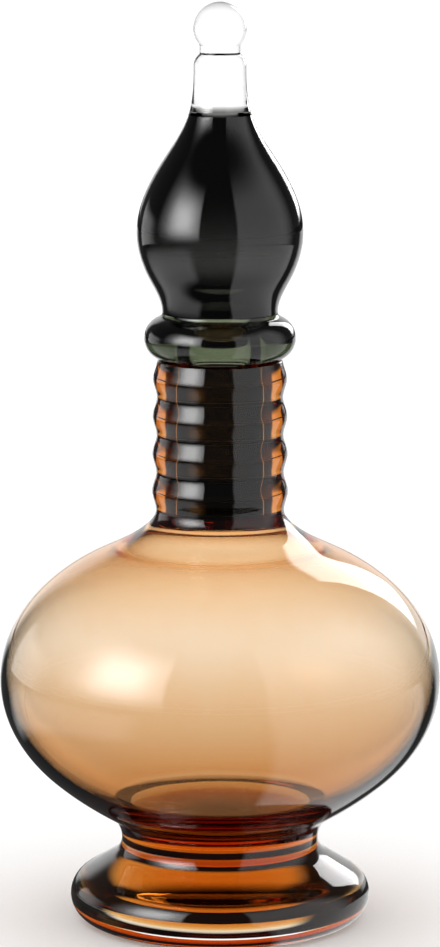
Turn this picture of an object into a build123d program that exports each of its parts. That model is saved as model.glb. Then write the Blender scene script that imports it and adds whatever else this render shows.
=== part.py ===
from build123d import *
from math import cos, radians, sin, sqrt
import os

# A blown glass genie bottle on a foot, with a stopper that lifts out of its neck.
# Millimetres, Z up, origin at the centre of the flat base. Every piece is turned
# about Z, and pieces that share a face draw it with the same function.

# Foot: a clear flange and waist, cast round an amber core
waist_radius = 38.6
foot_flare = 20.2
foot_edge_radius = 10.0
foot_slope = 58.4
foot_fillet = 8.0
waist_fillet = 11.0
waist_fillet_angle = 60.0
base_cover = 6.0
flange_cover = 15.8
waist_cover = 13.6
seat_cover = 7.0
core_edge_radius = 3.0
core_waist_drop = 5.5

# Bowl: an oblate bubble, thin at its belly and thick at its floor and shoulder
bowl_radius = 86.0
bowl_depth = 60.5
bowl_rise = 60.1
bowl_seat = 3.0
bowl_low_angle = -40.0
bowl_high_angle = 56.0
shoulder_curl = 4.5
shoulder_curl_rise = 6.9
belly_wall = 1.9
under_wall = 2.1
bowl_floor = 2.0
shoulder_wall = 3.0
cavity_rise = 1.5
cavity_low_angle = -58.0
cavity_high_angle = 62.0
throat_depth = 0.4
throat_flare = 6.6
throat_drop = 4.7
throat_turn = 45.0

# Plug: the ground lower end of the stopper, closed at its foot
plug_radius = 16.6
plug_clearance = 0.3
plug_tip = 0.8
plug_wall = 4.6
plug_floor = 14.0
plug_chamfer = 0.5

# Neck: a thick tube drawn into round ribs
neck_wall = 8.05
neck_taper = 0.6
rib_count = 4
rib_pitch = 14.7
rib_depth = 1.6
rim_rounding = 0.9

# Collar: the ring of glass that rests on the neck's rim
collar_seat = 4.0
collar_section_radius = 8.5
collar_turn = 160.0
crease_radius = 2.2

# Bulb: the hollow onion of the stopper, measured up from the crease over the collar
bulb_foot_radius = 27.7
bulb_foot_height = 13.7
bulb_belly_radius = 32.2
bulb_belly_height = 31.3
bulb_shoulder_radius = 22.6
bulb_shoulder_height = 57.8
bulb_top_radius = 11.7
bulb_top_height = 77.8
bulb_top_lean = 15.0
bulb_wall = 5.4
bulb_cavity_height = 55.0

# Finial: a clear stem and ball, set in the cup at the top of the bulb
cup_depth = 4.4
stem_radius = 10.1
stem_height = 17.3
stem_shoulder_radius = 6.0
stem_shoulder_angle = 49.0
groove_radius = 7.8
groove_length = 3.3
ball_radius = 10.2

# Places on the foot and the core that follow from the sizes above
slope_turn = radians(foot_slope)
foot_radius = waist_radius + foot_flare
foot_curves = foot_edge_radius + foot_fillet
slope_length = (foot_flare - foot_curves * (1 - cos(slope_turn))) / sin(slope_turn)
waist_z = foot_edge_radius + foot_curves * sin(slope_turn) + slope_length * cos(slope_turn)
junction_turn = radians(waist_fillet_angle)
junction_radius = waist_radius + waist_fillet * (1 - cos(junction_turn))
junction_z = waist_z + waist_fillet * sin(junction_turn)
core_skirt_radius = foot_radius - flange_cover
core_waist = (waist_radius - waist_cover, waist_z - core_waist_drop)
core_top = (junction_radius - seat_cover, junction_z)

# Places on the bowl and the neck
bowl_centre_z = waist_z + bowl_seat + bowl_depth
bowl_top_z = bowl_centre_z + bowl_rise
neck_z = bowl_top_z + shoulder_curl_rise
rim_z = neck_z + rib_count * rib_pitch
bore_radius = plug_radius + plug_clearance
neck_root_radius = bore_radius + neck_wall
mouth_turn = radians(throat_turn)

# Places on the stopper
throat_radius = plug_radius - plug_wall
plug_length = rim_z - neck_z + plug_tip
collar_radius = bore_radius + collar_seat
crease_angle = radians(collar_turn - 90)
crease_reach = collar_section_radius + crease_radius
crease_waist = collar_radius + crease_reach * cos(crease_angle) - crease_radius
crease_z = rim_z + collar_section_radius + crease_reach * sin(crease_angle)
top_lean = radians(bulb_top_lean)
cup_z = crease_z + bulb_top_height
stem_z = cup_z + stem_height
groove_z = stem_z + stem_shoulder_radius * sin(radians(stem_shoulder_angle))
ball_seat_z = groove_z + groove_length
ball_z = ball_seat_z + sqrt(ball_radius**2 - groove_radius**2)


def core_side():
    """Side of the amber core: a rounded skirt that draws in to a waist, then opens to the bowl."""
    skirt = JernArc(
        (core_skirt_radius - core_edge_radius, base_cover), (1, 0), core_edge_radius, 90
    )
    lean = (core_top[0] - core_waist[0], core_top[1] - core_waist[1])
    Spline(skirt @ 1, core_waist, core_top, tangents=[(0, 1), (0, 1), lean], tangent_scalars=[1, 1, 1])


def cup_floor():
    """Round-bottomed seat of the finial in the bulb, from the axis out to its edge."""
    TangentArc((0, cup_z - cup_depth), (bulb_top_radius, cup_z), tangent=(1, 0))


# Amber core of the foot
with BuildPart() as foot_core:
    with BuildSketch(Plane.XZ):
        with BuildLine():
            core_side()
            Polyline(
                (core_skirt_radius - core_edge_radius, base_cover),
                (0, base_cover),
                (0, junction_z),
                core_top,
            )
        make_face()
    revolve(axis=Axis.Z)

# Clear foot: flange, waist and the flat base that the bottle stands on
with BuildPart() as foot:
    with BuildSketch(Plane.XZ):
        with BuildLine():
            edge = JernArc(
                (foot_radius - foot_edge_radius, 0), (1, 0), foot_edge_radius, 90 + foot_slope
            )
            to_bowl = JernArc((waist_radius, waist_z), (0, 1), waist_fillet, -waist_fillet_angle)
            to_flange = JernArc((waist_radius, waist_z), (0, -1), foot_fillet, foot_slope)
            Line(edge @ 1, to_flange @ 1)
            core_side()
            Line(to_bowl @ 1, core_top)
            Polyline(
                (core_skirt_radius - core_edge_radius, base_cover),
                (0, base_cover),
                (0, 0),
                (foot_radius - foot_edge_radius, 0),
            )
        make_face()
    revolve(axis=Axis.Z)

# Amber bowl, open at the top into the neck
with BuildPart() as bowl:
    with BuildSketch(Plane.XZ):
        with BuildLine():
            underside = EllipticalCenterArc(
                (0, bowl_centre_z),
                bowl_radius,
                bowl_depth,
                start_angle=bowl_low_angle,
                arc_size=-bowl_low_angle,
            )
            shoulder = EllipticalCenterArc(
                (0, bowl_centre_z),
                bowl_radius,
                bowl_rise,
                start_angle=0,
                arc_size=bowl_high_angle,
            )
            Spline(
                (junction_radius, junction_z),
                underside @ 0,
                tangents=[(sin(junction_turn), cos(junction_turn)), underside % 0],
                tangent_scalars=[1, 1],
            )
            Spline(
                shoulder @ 1,
                (neck_root_radius + shoulder_curl, bowl_top_z),
                (neck_root_radius, neck_z),
                tangents=[shoulder % 1, (0, 1)],
                tangent_scalars=[1, 1],
            )
            cavity_z = bowl_centre_z + cavity_rise
            cavity_low = EllipticalCenterArc(
                (0, cavity_z),
                bowl_radius - belly_wall,
                bowl_depth - under_wall,
                start_angle=cavity_low_angle,
                arc_size=-cavity_low_angle,
            )
            Spline(
                (0, junction_z + bowl_floor),
                cavity_low @ 0,
                tangents=[(1, 0), cavity_low % 0],
                tangent_scalars=[1, 1],
            )
            cavity_high = EllipticalCenterArc(
                (0, cavity_z),
                bowl_radius - belly_wall,
                bowl_rise - cavity_rise - shoulder_wall,
                start_angle=0,
                arc_size=cavity_high_angle,
            )
            Spline(
                cavity_high @ 1,
                (bore_radius + throat_flare, neck_z - throat_drop),
                (bore_radius, neck_z - throat_depth),
                tangents=[cavity_high % 1, (-cos(mouth_turn), sin(mouth_turn))],
                tangent_scalars=[1, 1],
            )
            Polyline(
                (bore_radius, neck_z - throat_depth), (bore_radius, neck_z), (neck_root_radius, neck_z)
            )
            Polyline((0, junction_z + bowl_floor), (0, junction_z), (junction_radius, junction_z))
        make_face()
    revolve(axis=Axis.Z)

# Ribbed amber neck
with BuildPart() as neck:
    with BuildSketch(Plane.XZ):
        with BuildLine():
            turns = 2 * rib_count
            rib_points = [
                (neck_root_radius - neck_taper * i / turns + rib_depth * (i % 2), neck_z + rib_pitch * i / 2)
                for i in range(turns + 1)
            ]
            Spline(*rib_points, tangents=[(0, 1), (0, 1)], tangent_scalars=[1, 1])
            Polyline(rib_points[-1], (bore_radius, rim_z), (bore_radius, neck_z), rib_points[0])
        make_face()
    revolve(axis=Axis.Z)
    fillet(neck.edges().group_by(Axis.Z)[-1], rim_rounding)

# Smoke plug: a closed tube that fills the bore with a little play
with BuildPart() as plug:
    with BuildSketch(Plane.XY.offset(rim_z)):
        Circle(plug_radius)
    extrude(amount=-plug_length)
    chamfer(plug.edges().group_by(Axis.Z)[0], plug_chamfer)
    with BuildSketch(Plane.XY.offset(rim_z)):
        Circle(throat_radius)
    extrude(amount=plug_floor - plug_length, mode=Mode.SUBTRACT)

# Smoke collar that rests on the rim
with BuildPart() as collar:
    with BuildSketch(Plane.XZ):
        with BuildLine():
            ring = JernArc((collar_radius, rim_z), (1, 0), collar_section_radius, collar_turn)
            JernArc(ring @ 1, ring % 1, crease_radius, 90 - collar_turn)
            Polyline(
                (crease_waist, crease_z),
                (throat_radius, crease_z),
                (throat_radius, rim_z),
                (collar_radius, rim_z),
            )
        make_face()
    revolve(axis=Axis.Z)

# Hollow smoke bulb
with BuildPart() as bulb:
    with BuildSketch(Plane.XZ):
        with BuildLine():
            Spline(
                (crease_waist, crease_z),
                (bulb_foot_radius, crease_z + bulb_foot_height),
                (bulb_belly_radius, crease_z + bulb_belly_height),
                (bulb_shoulder_radius, crease_z + bulb_shoulder_height),
                (bulb_top_radius, cup_z),
                tangents=[(0, 1), (-sin(top_lean), cos(top_lean))],
                tangent_scalars=[1, 1],
            )
            cup_floor()
            Spline(
                (throat_radius, crease_z),
                (bulb_foot_radius - bulb_wall, crease_z + bulb_foot_height),
                (bulb_belly_radius - bulb_wall, crease_z + bulb_belly_height),
                (0, crease_z + bulb_cavity_height),
                tangents=[(0, 1), (-1, 0)],
                tangent_scalars=[1, 1],
            )
            Line((throat_radius, crease_z), (crease_waist, crease_z))
            Line((0, crease_z + bulb_cavity_height), (0, cup_z - cup_depth))
        make_face()
    revolve(axis=Axis.Z)

# Clear finial: stem, groove and ball
with BuildPart() as finial:
    with BuildSketch(Plane.XZ):
        with BuildLine():
            cup_floor()
            Spline(
                (bulb_top_radius, cup_z),
                (stem_radius, stem_z),
                tangents=[(-sin(top_lean), cos(top_lean)), (0, 1)],
                tangent_scalars=[1, 1],
            )
            stem_end = JernArc((stem_radius, stem_z), (0, 1), stem_shoulder_radius, stem_shoulder_angle)
            Polyline(stem_end @ 1, (groove_radius, groove_z), (groove_radius, ball_seat_z))
            ball_top = (0, ball_z + ball_radius)
            ThreePointArc((groove_radius, ball_seat_z), (ball_radius, ball_z), ball_top)
            Line(ball_top, (0, cup_z - cup_depth))
        make_face()
    revolve(axis=Axis.Z)

# One file for each piece
pieces = {
    "foot_core": foot_core,
    "foot": foot,
    "bowl": bowl,
    "neck": neck,
    "plug": plug,
    "collar": collar,
    "bulb": bulb,
    "finial": finial,
}
os.makedirs("parts", exist_ok=True)
for label, piece in pieces.items():
    piece.part.label = label
    export_step(piece.part, f"parts/{label}.step")
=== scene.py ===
"""A blown glass genie bottle and its stopper, on a pale floor in soft studio light.

Every piece is a surface of revolution about Z, worked out from the CAD frame's own sizes. Radii and
heights are in millimetres until a mesh is made.
"""

from math import cos, radians, sin

import bpy
import numpy as np
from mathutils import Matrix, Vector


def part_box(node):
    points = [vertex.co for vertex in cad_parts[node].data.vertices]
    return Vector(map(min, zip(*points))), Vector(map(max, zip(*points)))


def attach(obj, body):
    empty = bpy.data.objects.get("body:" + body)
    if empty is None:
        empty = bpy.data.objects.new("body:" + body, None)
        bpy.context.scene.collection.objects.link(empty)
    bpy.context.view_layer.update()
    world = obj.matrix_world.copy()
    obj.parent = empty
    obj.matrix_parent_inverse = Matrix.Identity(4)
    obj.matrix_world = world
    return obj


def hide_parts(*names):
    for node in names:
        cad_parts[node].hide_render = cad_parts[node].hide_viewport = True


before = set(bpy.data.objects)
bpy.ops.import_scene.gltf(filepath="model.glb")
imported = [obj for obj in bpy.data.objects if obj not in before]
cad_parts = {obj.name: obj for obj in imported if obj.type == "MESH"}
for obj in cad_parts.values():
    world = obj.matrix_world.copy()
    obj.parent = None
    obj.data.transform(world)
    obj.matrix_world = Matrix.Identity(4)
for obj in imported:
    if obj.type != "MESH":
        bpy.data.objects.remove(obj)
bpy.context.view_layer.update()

MM = 0.001
AROUND = 288  # faces round each piece
FINE = 1.5  # most millimetres between two points of an outline
FUSED_GAP = 0.02  # millimetres between two pieces of hot glass that were fused to each other
MEETING = 1e-3  # most millimetres between the ends of two curves that meet
SAME_POINT = 1e-4  # most millimetres between two points that are one, or from the axis to a pole
SHARP_ANGLE = 25.0  # degrees between faces, past which an edge shows
HAIR = 0.0001  # metres between the base and the table
AIR, FUSED = False, True


def span(node):
    """Radius, lowest and highest point of a CAD node, in millimetres."""
    low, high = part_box(node)
    return high.x / MM, low.z / MM, high.z / MM


# Sizes that the frame gives
foot_radius, floor_z, junction_z = span("foot")
core_radius, core_base_z, _ = span("foot_core")
bowl_radius, _, neck_z = span("bowl")
_, _, rim_z = span("neck")
plug_radius, plug_base_z, _ = span("plug")
collar_radius, _, crease_z = span("collar")
belly_radius, _, cup_z = span("bulb")
cup_radius, cup_floor_z, top_z = span("finial")

# Foot
waist_radius = 38.6
waist_z = 32.49
foot_edge = 10.0
foot_slope = 58.4
foot_fillet = 8.0
waist_fillet = 11.0
waist_fillet_angle = 60.0
waist_cover = 13.6
seat_cover = 7.0
core_edge = 3.0
core_waist_drop = 5.5

# Bowl
bowl_depth = 60.5
bowl_rise = 60.1
bowl_seat = 3.0
bowl_low_angle = -40.0
bowl_high_angle = 56.0
shoulder_curl = 4.5
belly_wall = 1.9
bowl_floor = 2.0
shoulder_wall = 3.0
cavity_rise = 1.5
under_wall = 2.1
cavity_low_angle = -58.0
cavity_high_angle = 62.0
throat_depth = 0.4
throat_flare = 6.6
throat_drop = 4.7
throat_turn = 45.0

# Neck and plug
bore_radius = plug_radius + 0.3
root_radius = bore_radius + 8.05
neck_taper = 0.6
rib_count = 4
rib_depth = 1.6
rim_rounding = 0.9
plug_wall = 4.6
plug_floor = 14.0
plug_chamfer = 0.5

# Collar
collar_section = 8.5
collar_turn = 160.0
crease_radius = 2.2

# Bulb, with heights from the crease
bulb_foot = (27.7, 13.7)
bulb_belly_height = 31.3
bulb_shoulder = (22.6, 57.8)
bulb_top_lean = 15.0
bulb_wall = 5.4
bulb_cavity_height = 55.0

# Finial
stem_radius = 10.1
stem_height = 17.3
stem_shoulder = 6.0
stem_shoulder_angle = 49.0
groove_radius = 7.8
groove_length = 3.3
ball_radius = 10.2


def polar(angle):
    """Unit direction of an angle in degrees from the r axis."""
    return np.array([cos(radians(angle)), sin(radians(angle))])


def line(*points):
    """Straight runs through the points, with enough points between for an even mesh."""
    points = np.array(points, float)
    runs = []
    for start, end in zip(points, points[1:]):
        count = max(2, int(np.hypot(*(end - start)) / FINE) + 1)
        runs.append(start + (end - start) * np.linspace(0, 1, count)[:, None])
    return np.vstack(runs)


def arc(centre, radii, start, end):
    """centre + (a cos t, b sin t) for t from start to end degrees, on a circle or an upright ellipse."""
    radii = np.broadcast_to(radii, 2)
    turn = radians(abs(end - start))
    count = max(12, int(turn * max(radii) / FINE) + 1)
    t = np.radians(np.linspace(start, end, count))[:, None]
    return np.array(centre) + radii * np.hstack([np.cos(t), np.sin(t)])


def spline(points, start, end, middle=None):
    """Cubic through the points, by chord length. The slopes at the ends are the given directions, and
    those between make the curve's bend run on unbroken, unless middle gives one."""
    points = np.array(points, float)
    chord = np.hypot(*np.diff(points, axis=0).T)
    steps = np.diff(points, axis=0) / chord[:, None]
    slopes = np.zeros_like(points)
    slopes[0], slopes[-1] = (np.array(d) / np.hypot(*d) for d in (start, end))
    inner = len(points) - 2
    if middle is not None:
        slopes[1] = np.array(middle) / np.hypot(*middle)
    elif inner:
        before, after = chord[:-1, None], chord[1:, None]
        right = 3 * (after * steps[:-1] + before * steps[1:])
        right[0] -= after[0] * slopes[0]
        right[-1] -= before[-1] * slopes[-1]
        system = np.diag(2 * (before + after)[:, 0])
        system += np.diag(after[1:, 0], -1) + np.diag(before[:-1, 0], 1)
        slopes[1:-1] = np.linalg.solve(system, right)
    runs = []
    for i, length in enumerate(chord):
        t = np.linspace(0, 1, max(8, int(length / FINE) + 1))[:, None]
        runs.append(
            (1 + 2 * t) * (1 - t) ** 2 * points[i]
            + t * (1 - t) ** 2 * length * slopes[i]
            + t**2 * (3 - 2 * t) * points[i + 1]
            - t**2 * (1 - t) * length * slopes[i + 1]
        )
    return np.vstack(runs)


def joined(*curves):
    """One row of points along curves that meet end to end, each shared point kept once, and for each
    step from a point to the next, True where it lies on a fused face."""
    rows, fused = [], []
    for points, is_fused in curves:
        keep = np.append(True, np.hypot(*np.diff(points, axis=0).T) > SAME_POINT)
        points = points[keep]
        if rows and np.hypot(*(points[0] - rows[-1][-1])) < MEETING:
            points = points[1:]
        fused += [is_fused] * (len(points) if rows else len(points) - 1)
        rows.append(points)
    return np.vstack(rows), np.array(fused)


def turned(node, material, body, *curves):
    """The glass that stands for a CAD node, made by turning its outline about Z: point (i, j) is
    (r_i cos a_j, r_i sin a_j, z_i), with a_j = 2 pi j / AROUND. An outline that starts and ends on the
    axis gets one vertex at each pole, and any other is closed into a ring."""
    rows, fused = joined(*curves)
    poles = rows[0, 0] < SAME_POINT
    if not poles and np.hypot(*(rows[0] - rows[-1])) < MEETING:
        rows = rows[:-1]
    ring = rows[1:-1] if poles else rows
    a = np.arange(AROUND) * 2 * np.pi / AROUND
    r, z = ring[:, :1], np.broadcast_to(ring[:, 1:], (len(ring), AROUND))
    grid = np.dstack([r * np.cos(a), r * np.sin(a), z]).reshape(-1, 3)
    index = np.arange(len(grid)).reshape(len(ring), AROUND)
    if not poles:
        index = np.vstack([index, index[:1]])
    near, far = index[:-1], index[1:]
    faces = np.dstack([near, np.roll(near, -1, 1), np.roll(far, -1, 1), far]).reshape(-1, 4).tolist()
    marks = np.repeat(fused[1:-1] if poles else fused, AROUND)
    if poles:
        ends = np.array([[0, 0, rows[0, 1]], [0, 0, rows[-1, 1]]])
        first, last = len(grid), len(grid) + 1
        grid = np.vstack([grid, ends])
        start = np.column_stack([np.full(AROUND, first), np.roll(index[0], -1), index[0]])
        end = np.column_stack([index[-1], np.roll(index[-1], -1), np.full(AROUND, last)])
        faces += start.tolist() + end.tolist()
        marks = np.concatenate([marks, np.repeat([fused[0], fused[-1]], AROUND)])
    mesh = bpy.data.meshes.new(node)
    mesh.from_pydata((grid * MM).tolist(), [], faces)
    if turned_in(rows):
        mesh.flip_normals()
    mesh.attributes.new("fused", "FLOAT", "FACE").data.foreach_set("value", marks.astype(np.float32))
    mesh.shade_smooth()
    mesh.set_sharp_from_angle(angle=radians(SHARP_ANGLE))
    piece = bpy.data.objects.new(node, mesh)
    bpy.context.scene.collection.objects.link(piece)
    mesh.materials.append(material)
    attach(piece, body)
    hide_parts(node)


def turned_in(rows):
    """True where the outline runs round the wrong way, so that its faces would point into the glass:
    the sign of the area that it encloses with the axis."""
    r, z = rows.T
    return np.sum(r * np.roll(z, -1) - np.roll(r, -1) * z) < 0


def nodes_of(material):
    """The nodes and links of a material, emptied but for its output."""
    material.use_nodes = True
    nodes = material.node_tree.nodes
    nodes.clear()
    return nodes, material.node_tree.links, nodes.new("ShaderNodeOutputMaterial")


def socket_of(group, name, way, kind="NodeSocketFloat", value=None):
    """A named socket of a shader node group."""
    socket = group.interface.new_socket(name, in_out=way, socket_type=kind)
    if value is not None:
        socket.default_value = value


def feed(tree, socket, given):
    """Sets a socket to a number, or links an output to it."""
    if isinstance(given, (int, float)):
        socket.default_value = given
    else:
        tree.links.new(given, socket)


def maths(tree, operation, *values):
    """Math node fed with numbers and outputs."""
    node = tree.nodes.new("ShaderNodeMath")
    node.operation = operation
    for socket, value in zip(node.inputs, values):
        feed(tree, socket, value)
    return node.outputs[0]


def drift(tree, low, high, value, start=0.0, end=1.0):
    """Smooth change from start to end while the value runs from low to high."""
    node = tree.nodes.new("ShaderNodeMapRange")
    node.interpolation_type = "SMOOTHSTEP"
    names = ("Value", "From Min", "From Max", "To Min", "To Max")
    for name, given in zip(names, (value, low, high, start, end)):
        feed(tree, node.inputs[name], given)
    return node.outputs["Result"]


def noise(tree, vector, scale, detail=2.0, roughness=0.5):
    """Value of a noise texture along a vector."""
    node = tree.nodes.new("ShaderNodeTexNoise")
    node.inputs["Detail"].default_value = detail
    node.inputs["Roughness"].default_value = roughness
    tree.links.new(vector, node.inputs["Vector"])
    feed(tree, node.inputs["Scale"], scale)
    return node.outputs["Fac"]


def stretched(tree, vector, factors):
    """The vector with each of its parts multiplied."""
    node = tree.nodes.new("ShaderNodeVectorMath")
    node.operation = "MULTIPLY"
    node.inputs[1].default_value = factors
    tree.links.new(vector, node.inputs[0])
    return node.outputs["Vector"]


def blown_skin_group():
    """What the blowpipe and the fire leave on glass, from Object coordinates in metres:
    Striae   0 to 1, long upright threads of richer and paler glass, drawn as the piece was blown,
    Height   metres: broad waves left by the jacks and the block, and a fine grain along the threads,
    Haze     0 to 1, faint patches where the surface is less bright, finger marks and dust among them."""
    group = bpy.data.node_groups.new("blown_skin", "ShaderNodeTree")
    socket_of(group, "Vector", "INPUT", "NodeSocketVector")
    sizes = {"Thread Scale": 260.0, "Wave Scale": 45.0, "Wave Height": 0.00004, "Thread Height": 0.000004}
    for name, value in sizes.items():
        socket_of(group, name, "INPUT", value=value)
    for name in ("Striae", "Height", "Haze"):
        socket_of(group, name, "OUTPUT")
    given, out = group.nodes.new("NodeGroupInput"), group.nodes.new("NodeGroupOutput")
    place = given.outputs["Vector"]
    drawn = stretched(group, place, (1, 1, 0.05))
    threads = noise(group, drawn, given.outputs["Thread Scale"], detail=3.0)
    bands = noise(group, stretched(group, place, (0.6, 0.6, 0.15)), 60.0, detail=1.0)
    mixed = maths(group, "MULTIPLY_ADD", threads, 0.5, maths(group, "MULTIPLY", bands, 0.5))
    striae = drift(group, 0.35, 0.7, mixed)
    waves = noise(group, place, given.outputs["Wave Scale"], detail=1.0)
    height = maths(
        group, "ADD",
        maths(group, "MULTIPLY", waves, given.outputs["Wave Height"]),
        maths(group, "MULTIPLY", threads, given.outputs["Thread Height"]),
    )
    haze = drift(group, 0.55, 0.75, noise(group, place, 90.0, detail=5.0, roughness=0.65))
    for value, name in ((striae, "Striae"), (height, "Height"), (haze, "Haze")):
        group.links.new(value, out.inputs[name])
    return group


blown_skin = blown_skin_group()


def deepened(tree, tint, place, deep, low, high):
    """The tint drawn towards a deeper one where the gather of glass is thick: below a belt of the piece
    that starts at the heights low, and above one that starts at the heights high."""
    part = tree.nodes.new("ShaderNodeSeparateXYZ")
    tree.links.new(place.outputs["Object"], part.inputs[0])
    under = drift(tree, low[0], low[1], part.outputs["Z"], 1.0, 0.0)
    over = drift(tree, high[0], high[1], part.outputs["Z"])
    mix = tree.nodes.new("ShaderNodeMix")
    mix.data_type = "RGBA"
    mix.blend_type = "MULTIPLY"
    mix.inputs["B"].default_value = (*deep, 1)
    tree.links.new(tint.outputs["Result"], mix.inputs["A"])
    tree.links.new(maths(tree, "MAXIMUM", under, over), mix.inputs["Factor"])
    return mix


GLASS_IOR = 1.5
HAZE = 0.02  # roughness where the skin is least bright


def glass(name, colour, density, pale, rich, gather=None):
    """Fire-polished glass: light bends and mirrors where it meets the air, goes straight on at a fused
    face, and loses density * (1 - colour) of each colour per metre on its way. Threads of the pale and
    the rich tint run up through its skin. A gather is the deeper tint of the thick glass, and the heights
    in metres between which it fades in downwards and upwards."""
    material = bpy.data.materials.new(name)
    nodes, links, output = nodes_of(material)
    surface = nodes.new("ShaderNodeBsdfPrincipled")
    surface.inputs["Transmission Weight"].default_value = 1.0
    fused = nodes.new("ShaderNodeAttribute")
    fused.attribute_name = "fused"
    index = nodes.new("ShaderNodeMapRange")
    index.inputs["To Min"].default_value = GLASS_IOR
    index.inputs["To Max"].default_value = 1.0
    links.new(fused.outputs["Fac"], index.inputs["Value"])
    links.new(index.outputs["Result"], surface.inputs["IOR"])
    place = nodes.new("ShaderNodeTexCoord")
    skin = nodes.new("ShaderNodeGroup")
    skin.node_tree = blown_skin
    links.new(place.outputs["Object"], skin.inputs["Vector"])
    tint = nodes.new("ShaderNodeMix")
    tint.data_type = "RGBA"
    tint.inputs["A"].default_value = (*pale, 1)
    tint.inputs["B"].default_value = (*rich, 1)
    links.new(skin.outputs["Striae"], tint.inputs["Factor"])
    if gather:
        tint = deepened(material.node_tree, tint, place, *gather)
    links.new(tint.outputs["Result"], surface.inputs["Base Color"])
    links.new(maths(material.node_tree, "MULTIPLY", skin.outputs["Haze"], HAZE), surface.inputs["Roughness"])
    bump = nodes.new("ShaderNodeBump")
    bump.inputs["Distance"].default_value = 1.0
    links.new(skin.outputs["Height"], bump.inputs["Height"])
    links.new(bump.outputs["Normal"], surface.inputs["Normal"])
    links.new(surface.outputs["BSDF"], output.inputs["Surface"])
    if density:
        volume = nodes.new("ShaderNodeVolumeAbsorption")
        volume.inputs["Color"].default_value = (*colour, 1)
        volume.inputs["Density"].default_value = density
        links.new(volume.outputs["Volume"], output.inputs["Volume"])
    return material


amber = glass(
    "amber_glass", (0.92, 0.56, 0.07), 150, (1.0, 0.985, 0.96), (1.0, 0.965, 0.92),
    gather=((1.0, 0.85, 0.68), (0.060, 0.104), (0.118, 0.148)),
)
neck_amber = glass("neck_amber_glass", (0.93, 0.61, 0.06), 135, (1.0, 0.985, 0.96), (1.0, 0.965, 0.92))
core_amber = glass("core_amber_glass", (0.90, 0.61, 0.08), 110, (1.0, 0.98, 0.95), (1.0, 0.95, 0.90))
clear = glass("clear_glass", (1, 1, 1), 0, (1.0, 1.0, 1.0), (0.985, 0.99, 0.985))
smoke = glass("smoke_glass", (0.13, 0.135, 0.12), 460, (0.98, 0.985, 0.98), (0.93, 0.94, 0.93))
plug_smoke = glass("plug_smoke_glass", (0.12, 0.11, 0.10), 600, (0.98, 0.985, 0.98), (0.93, 0.94, 0.93))
olive = glass("olive_smoke_glass", (0.25, 0.31, 0.13), 84, (0.98, 0.985, 0.97), (0.94, 0.95, 0.92))


def core_side(gap):
    """Side of the amber core, drawn in from its true place by gap."""
    skirt = arc((core_radius - core_edge - gap, core_base_z + core_edge), core_edge, -90, 0)
    top_radius = waist_radius + waist_fillet * (1 - cos(radians(waist_fillet_angle))) - seat_cover
    low = np.array([waist_radius - waist_cover - gap, waist_z - core_waist_drop])
    top = np.array([top_radius - gap, junction_z])
    return np.vstack([skirt, spline([skirt[-1], low, top], (0, 1), top - low, middle=(0, 1))])


half = FUSED_GAP / 2
core = core_side(FUSED_GAP)
core[:, 1] = np.minimum(core[:, 1], junction_z - half)
turned(
    "foot_core", core_amber, "bottle",
    (line((0, core_base_z), core[0]), FUSED),
    (core, FUSED),
    (line(core[-1], (0, junction_z - half)), FUSED),
)

flange = arc((foot_radius - foot_edge, foot_edge), foot_edge, -90, foot_slope)
low_waist = arc((waist_radius + foot_fillet, waist_z), foot_fillet, 180 + foot_slope, 180)
high_waist = arc((waist_radius + waist_fillet, waist_z), waist_fillet, 180, 180 - waist_fillet_angle)
seat_radius = high_waist[-1, 0]
high_waist[-1, 1] = junction_z - half
inner = core_side(0)
inner[:, 1] = np.minimum(inner[:, 1], junction_z - half)
turned(
    "foot", clear, "bottle",
    (line((0, floor_z), flange[0]), AIR),
    (flange, AIR),
    (line(flange[-1], low_waist[0]), AIR),
    (low_waist, AIR),
    (high_waist, AIR),
    (line(high_waist[-1], inner[-1]), FUSED),
    (inner[::-1], FUSED),
    (line(inner[0], (0, core_base_z - FUSED_GAP)), FUSED),
)

centre_z = waist_z + bowl_seat + bowl_depth
shoulder_z = centre_z + bowl_rise
under = arc((0, centre_z), (bowl_radius, bowl_depth), bowl_low_angle, 0)
over = arc((0, centre_z), (bowl_radius, bowl_rise), 0, bowl_high_angle)
cavity_z = centre_z + cavity_rise
cavity_radius = bowl_radius - belly_wall
cavity_under = arc((0, cavity_z), (cavity_radius, bowl_depth - under_wall), cavity_low_angle, 0)
cavity_height = bowl_rise - cavity_rise - shoulder_wall
cavity_over = arc((0, cavity_z), (cavity_radius, cavity_height), 0, cavity_high_angle)
curl = (root_radius + shoulder_curl, shoulder_z)
root_z = neck_z - half
seat = (seat_radius, junction_z + half)
outside = [
    (spline([seat, under[0]], polar(90 - waist_fillet_angle), under[1] - under[0]), AIR),
    (under, AIR),
    (over, AIR),
    (spline([over[-1], curl, (root_radius, root_z)], over[-1] - over[-2], (0, 1)), AIR),
]
cavity_floor = (0, junction_z + bowl_floor)
flare = (bore_radius + throat_flare, neck_z - throat_drop)
mouth = (bore_radius, neck_z - throat_depth)
cavity_end = cavity_over[-1] - cavity_over[-2]
inside = [
    (spline([cavity_floor, cavity_under[0]], (1, 0), cavity_under[1] - cavity_under[0]), AIR),
    (cavity_under, AIR),
    (cavity_over, AIR),
    (spline([cavity_over[-1], flare, mouth], cavity_end, polar(180 - throat_turn)), AIR),
    (line(mouth, (bore_radius, root_z)), AIR),
]
turned(
    "bowl", amber, "bottle",
    (line((0, junction_z + half), seat), FUSED),
    *outside,
    (line((root_radius, root_z), (bore_radius, root_z)), FUSED),
    *[(points[::-1], kind) for points, kind in inside[::-1]],
)

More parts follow.
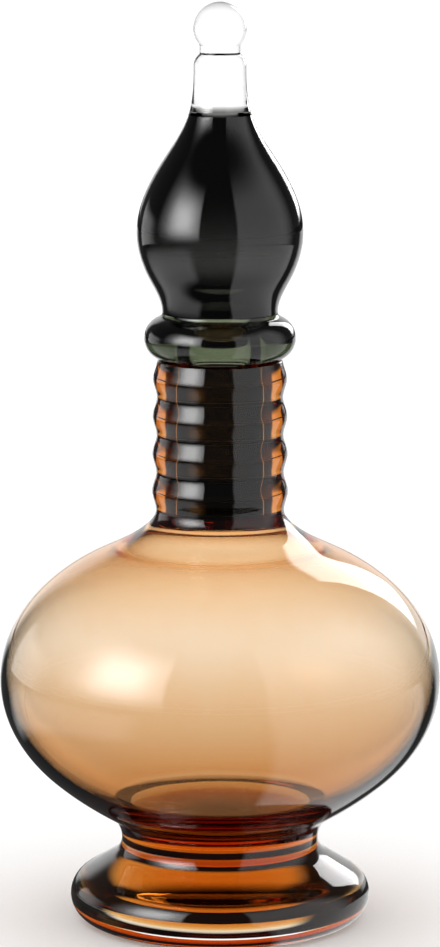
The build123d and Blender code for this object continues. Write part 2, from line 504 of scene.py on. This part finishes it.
turns = 2 * rib_count
rib_length = (rim_z - neck_z) / turns
ribs = spline(
    [
        (root_radius - neck_taper * i / turns + rib_depth * (i % 2), neck_z + rib_length * i)
        for i in range(turns + 1)
    ],
    (0, 1), (0, 1),
)
ribs[0, 1] = neck_z + half
outer_rim = ribs[-1, 0] - rim_rounding
inner_rim = bore_radius + rim_rounding
ribs = ribs[ribs[:, 1] < rim_z - rim_rounding]
turned(
    "neck", neck_amber, "bottle",
    (line((bore_radius, neck_z + half), ribs[0]), FUSED),
    (np.vstack([ribs, arc((outer_rim, rim_z - rim_rounding), rim_rounding, 0, 90)]), AIR),
    (line((outer_rim, rim_z), (inner_rim, rim_z)), AIR),
    (arc((inner_rim, rim_z - rim_rounding), rim_rounding, 90, 180), AIR),
    (line((bore_radius, rim_z - rim_rounding), (bore_radius, neck_z + half)), AIR),
)

throat_radius = plug_radius - plug_wall
plug_floor_z = plug_base_z + plug_floor
plug_top_z = rim_z - half
chamfer = [(plug_radius - plug_chamfer, plug_base_z), (plug_radius, plug_base_z + plug_chamfer)]
turned(
    "plug", plug_smoke, "stopper",
    (line((0, plug_base_z), *chamfer), AIR),
    (line(chamfer[-1], (plug_radius, plug_top_z)), AIR),
    (line((plug_radius, plug_top_z), (throat_radius, plug_top_z)), FUSED),
    (line((throat_radius, plug_top_z), (throat_radius, plug_floor_z), (0, plug_floor_z)), AIR),
)

ring_radius = collar_radius - collar_section
ring = arc((ring_radius, rim_z + collar_section), collar_section, -90, collar_turn - 90)
crease_reach = collar_section + crease_radius
crease_angle = collar_turn - 90
crease_centre = (
    ring_radius + crease_reach * cos(radians(crease_angle)),
    rim_z + collar_section + crease_reach * sin(radians(crease_angle)),
)
crease = arc(crease_centre, crease_radius, 180 + crease_angle, 180)
crease_waist = crease[-1, 0]
turned(
    "collar", olive, "stopper",
    (line((throat_radius, rim_z + half), (plug_radius, rim_z + half)), FUSED),
    (line((plug_radius, rim_z + half), (ring_radius, rim_z + half)), AIR),
    (ring, AIR),
    (crease[:-1], AIR),
    (line((crease_waist, crease_z - half), (throat_radius, crease_z - half)), FUSED),
    (line((throat_radius, crease_z - half), (throat_radius, rim_z + half)), AIR),
)


def cup(lift):
    """Round-bottomed seat of the finial: an arc that starts level on the axis and ends at the edge."""
    depth = cup_z - cup_floor_z
    radius = (cup_radius**2 + depth**2) / (2 * depth)
    end = -90 + 2 * np.degrees(np.arctan2(depth, cup_radius))
    return arc((0, cup_floor_z + radius + lift), radius, -90, end)


cup_slope = (-sin(radians(bulb_top_lean)), cos(radians(bulb_top_lean)))
bulb_outer = spline(
    [
        (crease_waist, crease_z),
        (bulb_foot[0], crease_z + bulb_foot[1]),
        (belly_radius, crease_z + bulb_belly_height),
        (bulb_shoulder[0], crease_z + bulb_shoulder[1]),
        (cup_radius, cup_z),
    ],
    (0, 1), cup_slope,
)
bulb_inner = spline(
    [
        (throat_radius, crease_z),
        (bulb_foot[0] - bulb_wall, crease_z + bulb_foot[1]),
        (belly_radius - bulb_wall, crease_z + bulb_belly_height),
        (0, crease_z + bulb_cavity_height),
    ],
    (0, 1), (-1, 0),
)
bulb_outer[0, 1] = bulb_inner[0, 1] = crease_z + half
cup_low = cup(-half)
turned(
    "bulb", smoke, "stopper",
    (bulb_inner[::-1], AIR),
    (line((throat_radius, crease_z + half), (crease_waist, crease_z + half)), FUSED),
    (bulb_outer[:-1], AIR),
    (cup_low[::-1], FUSED),
)

stem_z = cup_z + stem_height
shoulder = arc((stem_radius - stem_shoulder, stem_z), stem_shoulder, 0, stem_shoulder_angle)
groove_z = shoulder[-1, 1]
ball_z = top_z - ball_radius
seat_angle = -np.degrees(np.arccos(groove_radius / ball_radius))
stem = spline([(cup_radius, cup_z), (stem_radius, stem_z)], cup_slope, (0, 1))
turned(
    "finial", clear, "stopper",
    (cup(half), FUSED),
    (stem[1:], AIR),
    (shoulder, AIR),
    (line(shoulder[-1], (groove_radius, groove_z), (groove_radius, groove_z + groove_length)), AIR),
    (arc((0, ball_z), ball_radius, seat_angle, 90), AIR),
)


def camera(distance, tilt, aim, lens):
    """A camera in front of the bottle, tilted down, that looks at the height aim on the axis."""
    data = bpy.data.cameras.new("camera")
    data.lens = lens
    data.sensor_width = 36
    data.clip_end = 40
    eye = bpy.data.objects.new("camera", data)
    bpy.context.scene.collection.objects.link(eye)
    slope = radians(tilt)
    eye.location = (0, -distance * cos(slope), aim + distance * sin(slope))
    eye.rotation_euler = (radians(90 - tilt), 0, 0)
    bpy.context.scene.camera = eye


camera(distance=1.835, tilt=9.5, aim=0.177, lens=179.4)

AWAY_FROM_CAMERA = ("glossy", "transmission")
CARD_DISTANCE = 1.3  # metres from the axis to the softboxes
EYE_LEVEL = 0.18  # metres up to the middle of the ball that they lie on
FLOOR_RADIUS = 9
TABLE_RADIUS = 3
DISC_SIDES = 96


def stand(name, vertices, faces, material, sees=None):
    """A part of the studio. Only the kinds of ray in sees meet it, or all if none are given."""
    mesh = bpy.data.meshes.new(name)
    mesh.from_pydata(vertices, [], faces)
    mesh.materials.append(material)
    piece = bpy.data.objects.new(name, mesh)
    bpy.context.scene.collection.objects.link(piece)
    if sees is not None:
        for kind in ("camera", "diffuse", "glossy", "transmission", "shadow"):
            setattr(piece, "visible_" + kind, kind in sees)
    return mesh


def disc(radius, height):
    """Corners of a level round plate."""
    a = np.arange(DISC_SIDES) * 2 * np.pi / DISC_SIDES
    corners = np.column_stack([radius * np.cos(a), radius * np.sin(a), np.full_like(a, height)])
    return corners.tolist(), [list(range(DISC_SIDES))]


# Floor, a hair below the base, so that the base keeps its own polished face
paper = bpy.data.materials.new("white_paper")
nodes, links, output = nodes_of(paper)
paint = nodes.new("ShaderNodeBsdfPrincipled")
paint.inputs["Roughness"].default_value = 0.8
paint.inputs["Specular IOR Level"].default_value = 0.0
place = nodes.new("ShaderNodeTexCoord")
grain = noise(paper.node_tree, place.outputs["Object"], 900.0, detail=3.0)
links.new(drift(paper.node_tree, 0.4, 0.7, grain, 0.96, 0.98), paint.inputs["Base Color"])
links.new(paint.outputs["BSDF"], output.inputs["Surface"])
stand("floor", *disc(FLOOR_RADIUS, -2 * HAIR), paper)


def sweep_group():
    """Brightness of the studio in a direction. A white sweep stands behind the bottle, about the
    azimuth Turn from the back and Half Width to each side, up to the elevation Top, all in degrees. Past
    its soft edges all is Dark."""
    group = bpy.data.node_groups.new("white_sweep", "ShaderNodeTree")
    socket_of(group, "Vector", "INPUT", "NodeSocketVector")
    for name, value in (
        ("Turn", 6.0), ("Half Width", 24.0), ("Side Softness", 10.0), ("Top", 16.0), ("Top Softness", 12.0),
        ("White", 1.0), ("Dark", 0.08),
    ):
        socket_of(group, name, "INPUT", value=value)
    socket_of(group, "Brightness", "OUTPUT")
    given, out = group.nodes.new("NodeGroupInput"), group.nodes.new("NodeGroupOutput")
    part = group.nodes.new("ShaderNodeSeparateXYZ")
    length = group.nodes.new("ShaderNodeVectorMath")
    length.operation = "LENGTH"
    for node in (part, length):
        group.links.new(given.outputs["Vector"], node.inputs[0])
    azimuth = maths(group, "DEGREES", maths(group, "ARCTAN2", part.outputs["X"], part.outputs["Y"]))
    asked = given.outputs
    aside = maths(group, "ABSOLUTE", maths(group, "SUBTRACT", azimuth, asked["Turn"]))
    side = maths(group, "ADD", asked["Half Width"], asked["Side Softness"])
    across = drift(group, asked["Half Width"], side, aside, asked["White"], asked["Dark"])
    sine = maths(group, "DIVIDE", part.outputs["Z"], length.outputs["Value"])
    elevation = maths(group, "DEGREES", maths(group, "ARCSINE", sine))
    top = maths(group, "ADD", asked["Top"], asked["Top Softness"])
    brightness = drift(group, asked["Top"], top, elevation, across, asked["Dark"])
    group.links.new(brightness, out.inputs["Brightness"])
    return group


white_sweep = sweep_group()


def by_ray(tree, straight, inside, outside):
    """One of three values: straight for light that only goes through glass, inside for light that a
    wall of glass turned back on its way, and outside for light mirrored by a face it didn't enter."""
    ray = tree.nodes.new("ShaderNodeLightPath")
    turned_back = maths(tree, "GREATER_THAN", ray.outputs["Glossy Depth"], 0.5)
    value = straight
    mirrored = maths(tree, "MULTIPLY", ray.outputs["Is Glossy Ray"], ray.outputs["Is Reflection Ray"])
    for choice, share in ((inside, turned_back), (outside, mirrored)):
        pick = tree.nodes.new("ShaderNodeMix")
        for name, given in (("Factor", share), ("A", value), ("B", choice)):
            feed(tree, pick.inputs[name], given)
        value = pick.outputs["Result"]
    return value


def sweep_in(tree, vector, **values):
    """Brightness of the white sweep along a vector."""
    node = tree.nodes.new("ShaderNodeGroup")
    node.node_tree = white_sweep
    for name, value in values.items():
        node.inputs[name.replace("_", " ")].default_value = value
    tree.links.new(vector, node.inputs["Vector"])
    return node.outputs["Brightness"]


# Table top as the glass sees it, painted as light, by the distance from the axis in metres: a painted shadow
# of the bottle, dark under the foot, pale behind, and before the softboxes their own light again, which
# fades out where they stand
table = bpy.data.materials.new("table_light")
nodes, links, output = nodes_of(table)
tree = table.node_tree
lamp = nodes.new("ShaderNodeEmission")
place = nodes.new("ShaderNodeTexCoord").outputs["Object"]
reach = nodes.new("ShaderNodeVectorMath")
reach.operation = "LENGTH"
links.new(place, reach.inputs[0])
reach = reach.outputs["Value"]
# Painted shadow of the bottle on the table: near black under the foot, paling out by 85 mm from the axis
painted_foot_shadow = drift(tree, 0.01, 0.085, reach, 0.02, 0.78)
seen_through = maths(tree, "ADD", painted_foot_shadow, drift(tree, 0.1, 0.6, reach, 0.0, 0.36))
paling = drift(tree, 0.7, 1.4, reach, 0.01, 1.0)
seen_inside = maths(tree, "MULTIPLY", paling, sweep_in(tree, place, Dark=0.03))
panel_below = sweep_in(tree, place, Turn=106, Half_Width=46, Side_Softness=8, White=1.1, Dark=0.0)
past_shade, before_sheet = drift(tree, 0.18, 0.26, reach), drift(tree, 0.35, 1.25, reach, 1.0, 0.0)
sheet_belt = maths(tree, "MULTIPLY", past_shade, before_sheet)
sheet_side = sweep_in(tree, place, Turn=-94, Half_Width=36, Side_Softness=16, White=1.1, Dark=0.0)
sheet_below = maths(tree, "MULTIPLY", sheet_belt, sheet_side)
before_cards = drift(tree, CARD_DISTANCE - 0.1, CARD_DISTANCE, reach, 1.0, 0.0)
beside = maths(tree, "MULTIPLY", before_cards, maths(tree, "MAXIMUM", panel_below, sheet_below))
seen_mirrored = maths(tree, "MAXIMUM", beside, sweep_in(tree, place, Dark=0.06))
links.new(by_ray(tree, seen_through, seen_inside, seen_mirrored), lamp.inputs["Color"])
links.new(lamp.outputs["Emission"], output.inputs["Surface"])
stand("table", *disc(TABLE_RADIUS, -HAIR), table, AWAY_FROM_CAMERA)


def card(name, azimuths, elevations, brightness, fades, sees):
    """A softbox bent round the bottle, part of a sphere: point (u, v) lies at azimuth a(u) and elevation
    b(v), both straight runs. Azimuth 0 is the camera's side and 90 the right. Its light falls to nothing
    over a share of its width at the left and the right edge, and of its height at the foot and the top."""
    u, v = np.meshgrid(np.linspace(0, 1, 65), np.linspace(0, 1, 33))
    a = np.radians(azimuths[0] + (azimuths[1] - azimuths[0]) * u)
    b = np.radians(elevations[0] + (elevations[1] - elevations[0]) * v)
    place = np.dstack([np.sin(a) * np.cos(b), -np.cos(a) * np.cos(b), np.sin(b)]) * CARD_DISTANCE
    place[..., 2] += EYE_LEVEL
    index = np.arange(u.size).reshape(u.shape)
    quads = np.dstack([index[:-1, :-1], index[:-1, 1:], index[1:, 1:], index[1:, :-1]]).reshape(-1, 4)
    material = bpy.data.materials.new(name)
    nodes, links, output = nodes_of(material)
    lamp = nodes.new("ShaderNodeEmission")
    share = nodes.new("ShaderNodeAttribute")
    share.attribute_name = "share"
    strength = maths(material.node_tree, "MULTIPLY", share.outputs["Fac"], brightness)
    links.new(strength, lamp.inputs["Strength"])
    behind = nodes.new("ShaderNodeBsdfTransparent")
    both = nodes.new("ShaderNodeAddShader")
    links.new(lamp.outputs["Emission"], both.inputs[0])
    links.new(behind.outputs["BSDF"], both.inputs[1])
    links.new(both.outputs["Shader"], output.inputs["Surface"])
    mesh = stand(name, place.reshape(-1, 3).tolist(), quads.tolist(), material, sees)
    edges = [np.clip(edge / fade, 0, 1) for edge, fade in zip((u, 1 - u, v, 1 - v), fades)]
    light = np.prod([edge * edge * (3 - 2 * edge) for edge in edges], axis=0)
    shares = mesh.attributes.new("share", "FLOAT", "POINT").data
    shares.foreach_set("value", light.ravel().astype(np.float32))


# Softboxes: the key and its bright heart at the front left, a panel at the right, a sheet at the far
# left, and a narrow strip at the back right
card("key", (-100, -27), (-8, 52), 3.6, (0.5, 0.05, 0.35, 0.4), ("glossy",))
card("key_heart", (-84, -28), (-7, 50), 7.2, (0.5, 0.4, 0.5, 0.5), ("glossy",))
card("key_through_glass", (-88, -28), (-6, 46), 1.2, (0.5, 0.5, 0.5, 0.5), ("transmission",))
card("panel", (22, 125), (-70, 62), 1.1, (0.04, 0.3, 0.1, 0.2), ("glossy",))
card("sheet", (-140, -96), (-8, 16), 1.2, (0.1, 0.5, 0.02, 0.3), ("glossy",))
card("strip", (144, 161), (3, 45), 5.0, (0.05, 0.05, 0.08, 0.08), ("glossy",))

# Studio round it: white paper behind, which the skin of the glass mirrors as the white sweep alone
BACKDROP = 1.16
world = bpy.data.worlds.new("studio")
bpy.context.scene.world = world
world.use_nodes = True
tree = world.node_tree
around = tree.nodes.new("ShaderNodeTexCoord").outputs["Generated"]
turned_back = sweep_in(tree, around, Top=14, Top_Softness=26, Dark=0.01)
brightness = by_ray(tree, BACKDROP, turned_back, sweep_in(tree, around))
tree.links.new(brightness, tree.nodes["Background"].inputs["Color"])

bpy.context.scene.view_settings.view_transform = "Standard"
bpy.context.scene.cycles.max_bounces = 32
bpy.context.scene.cycles.transmission_bounces = 32
bpy.context.scene.cycles.glossy_bounces = 16
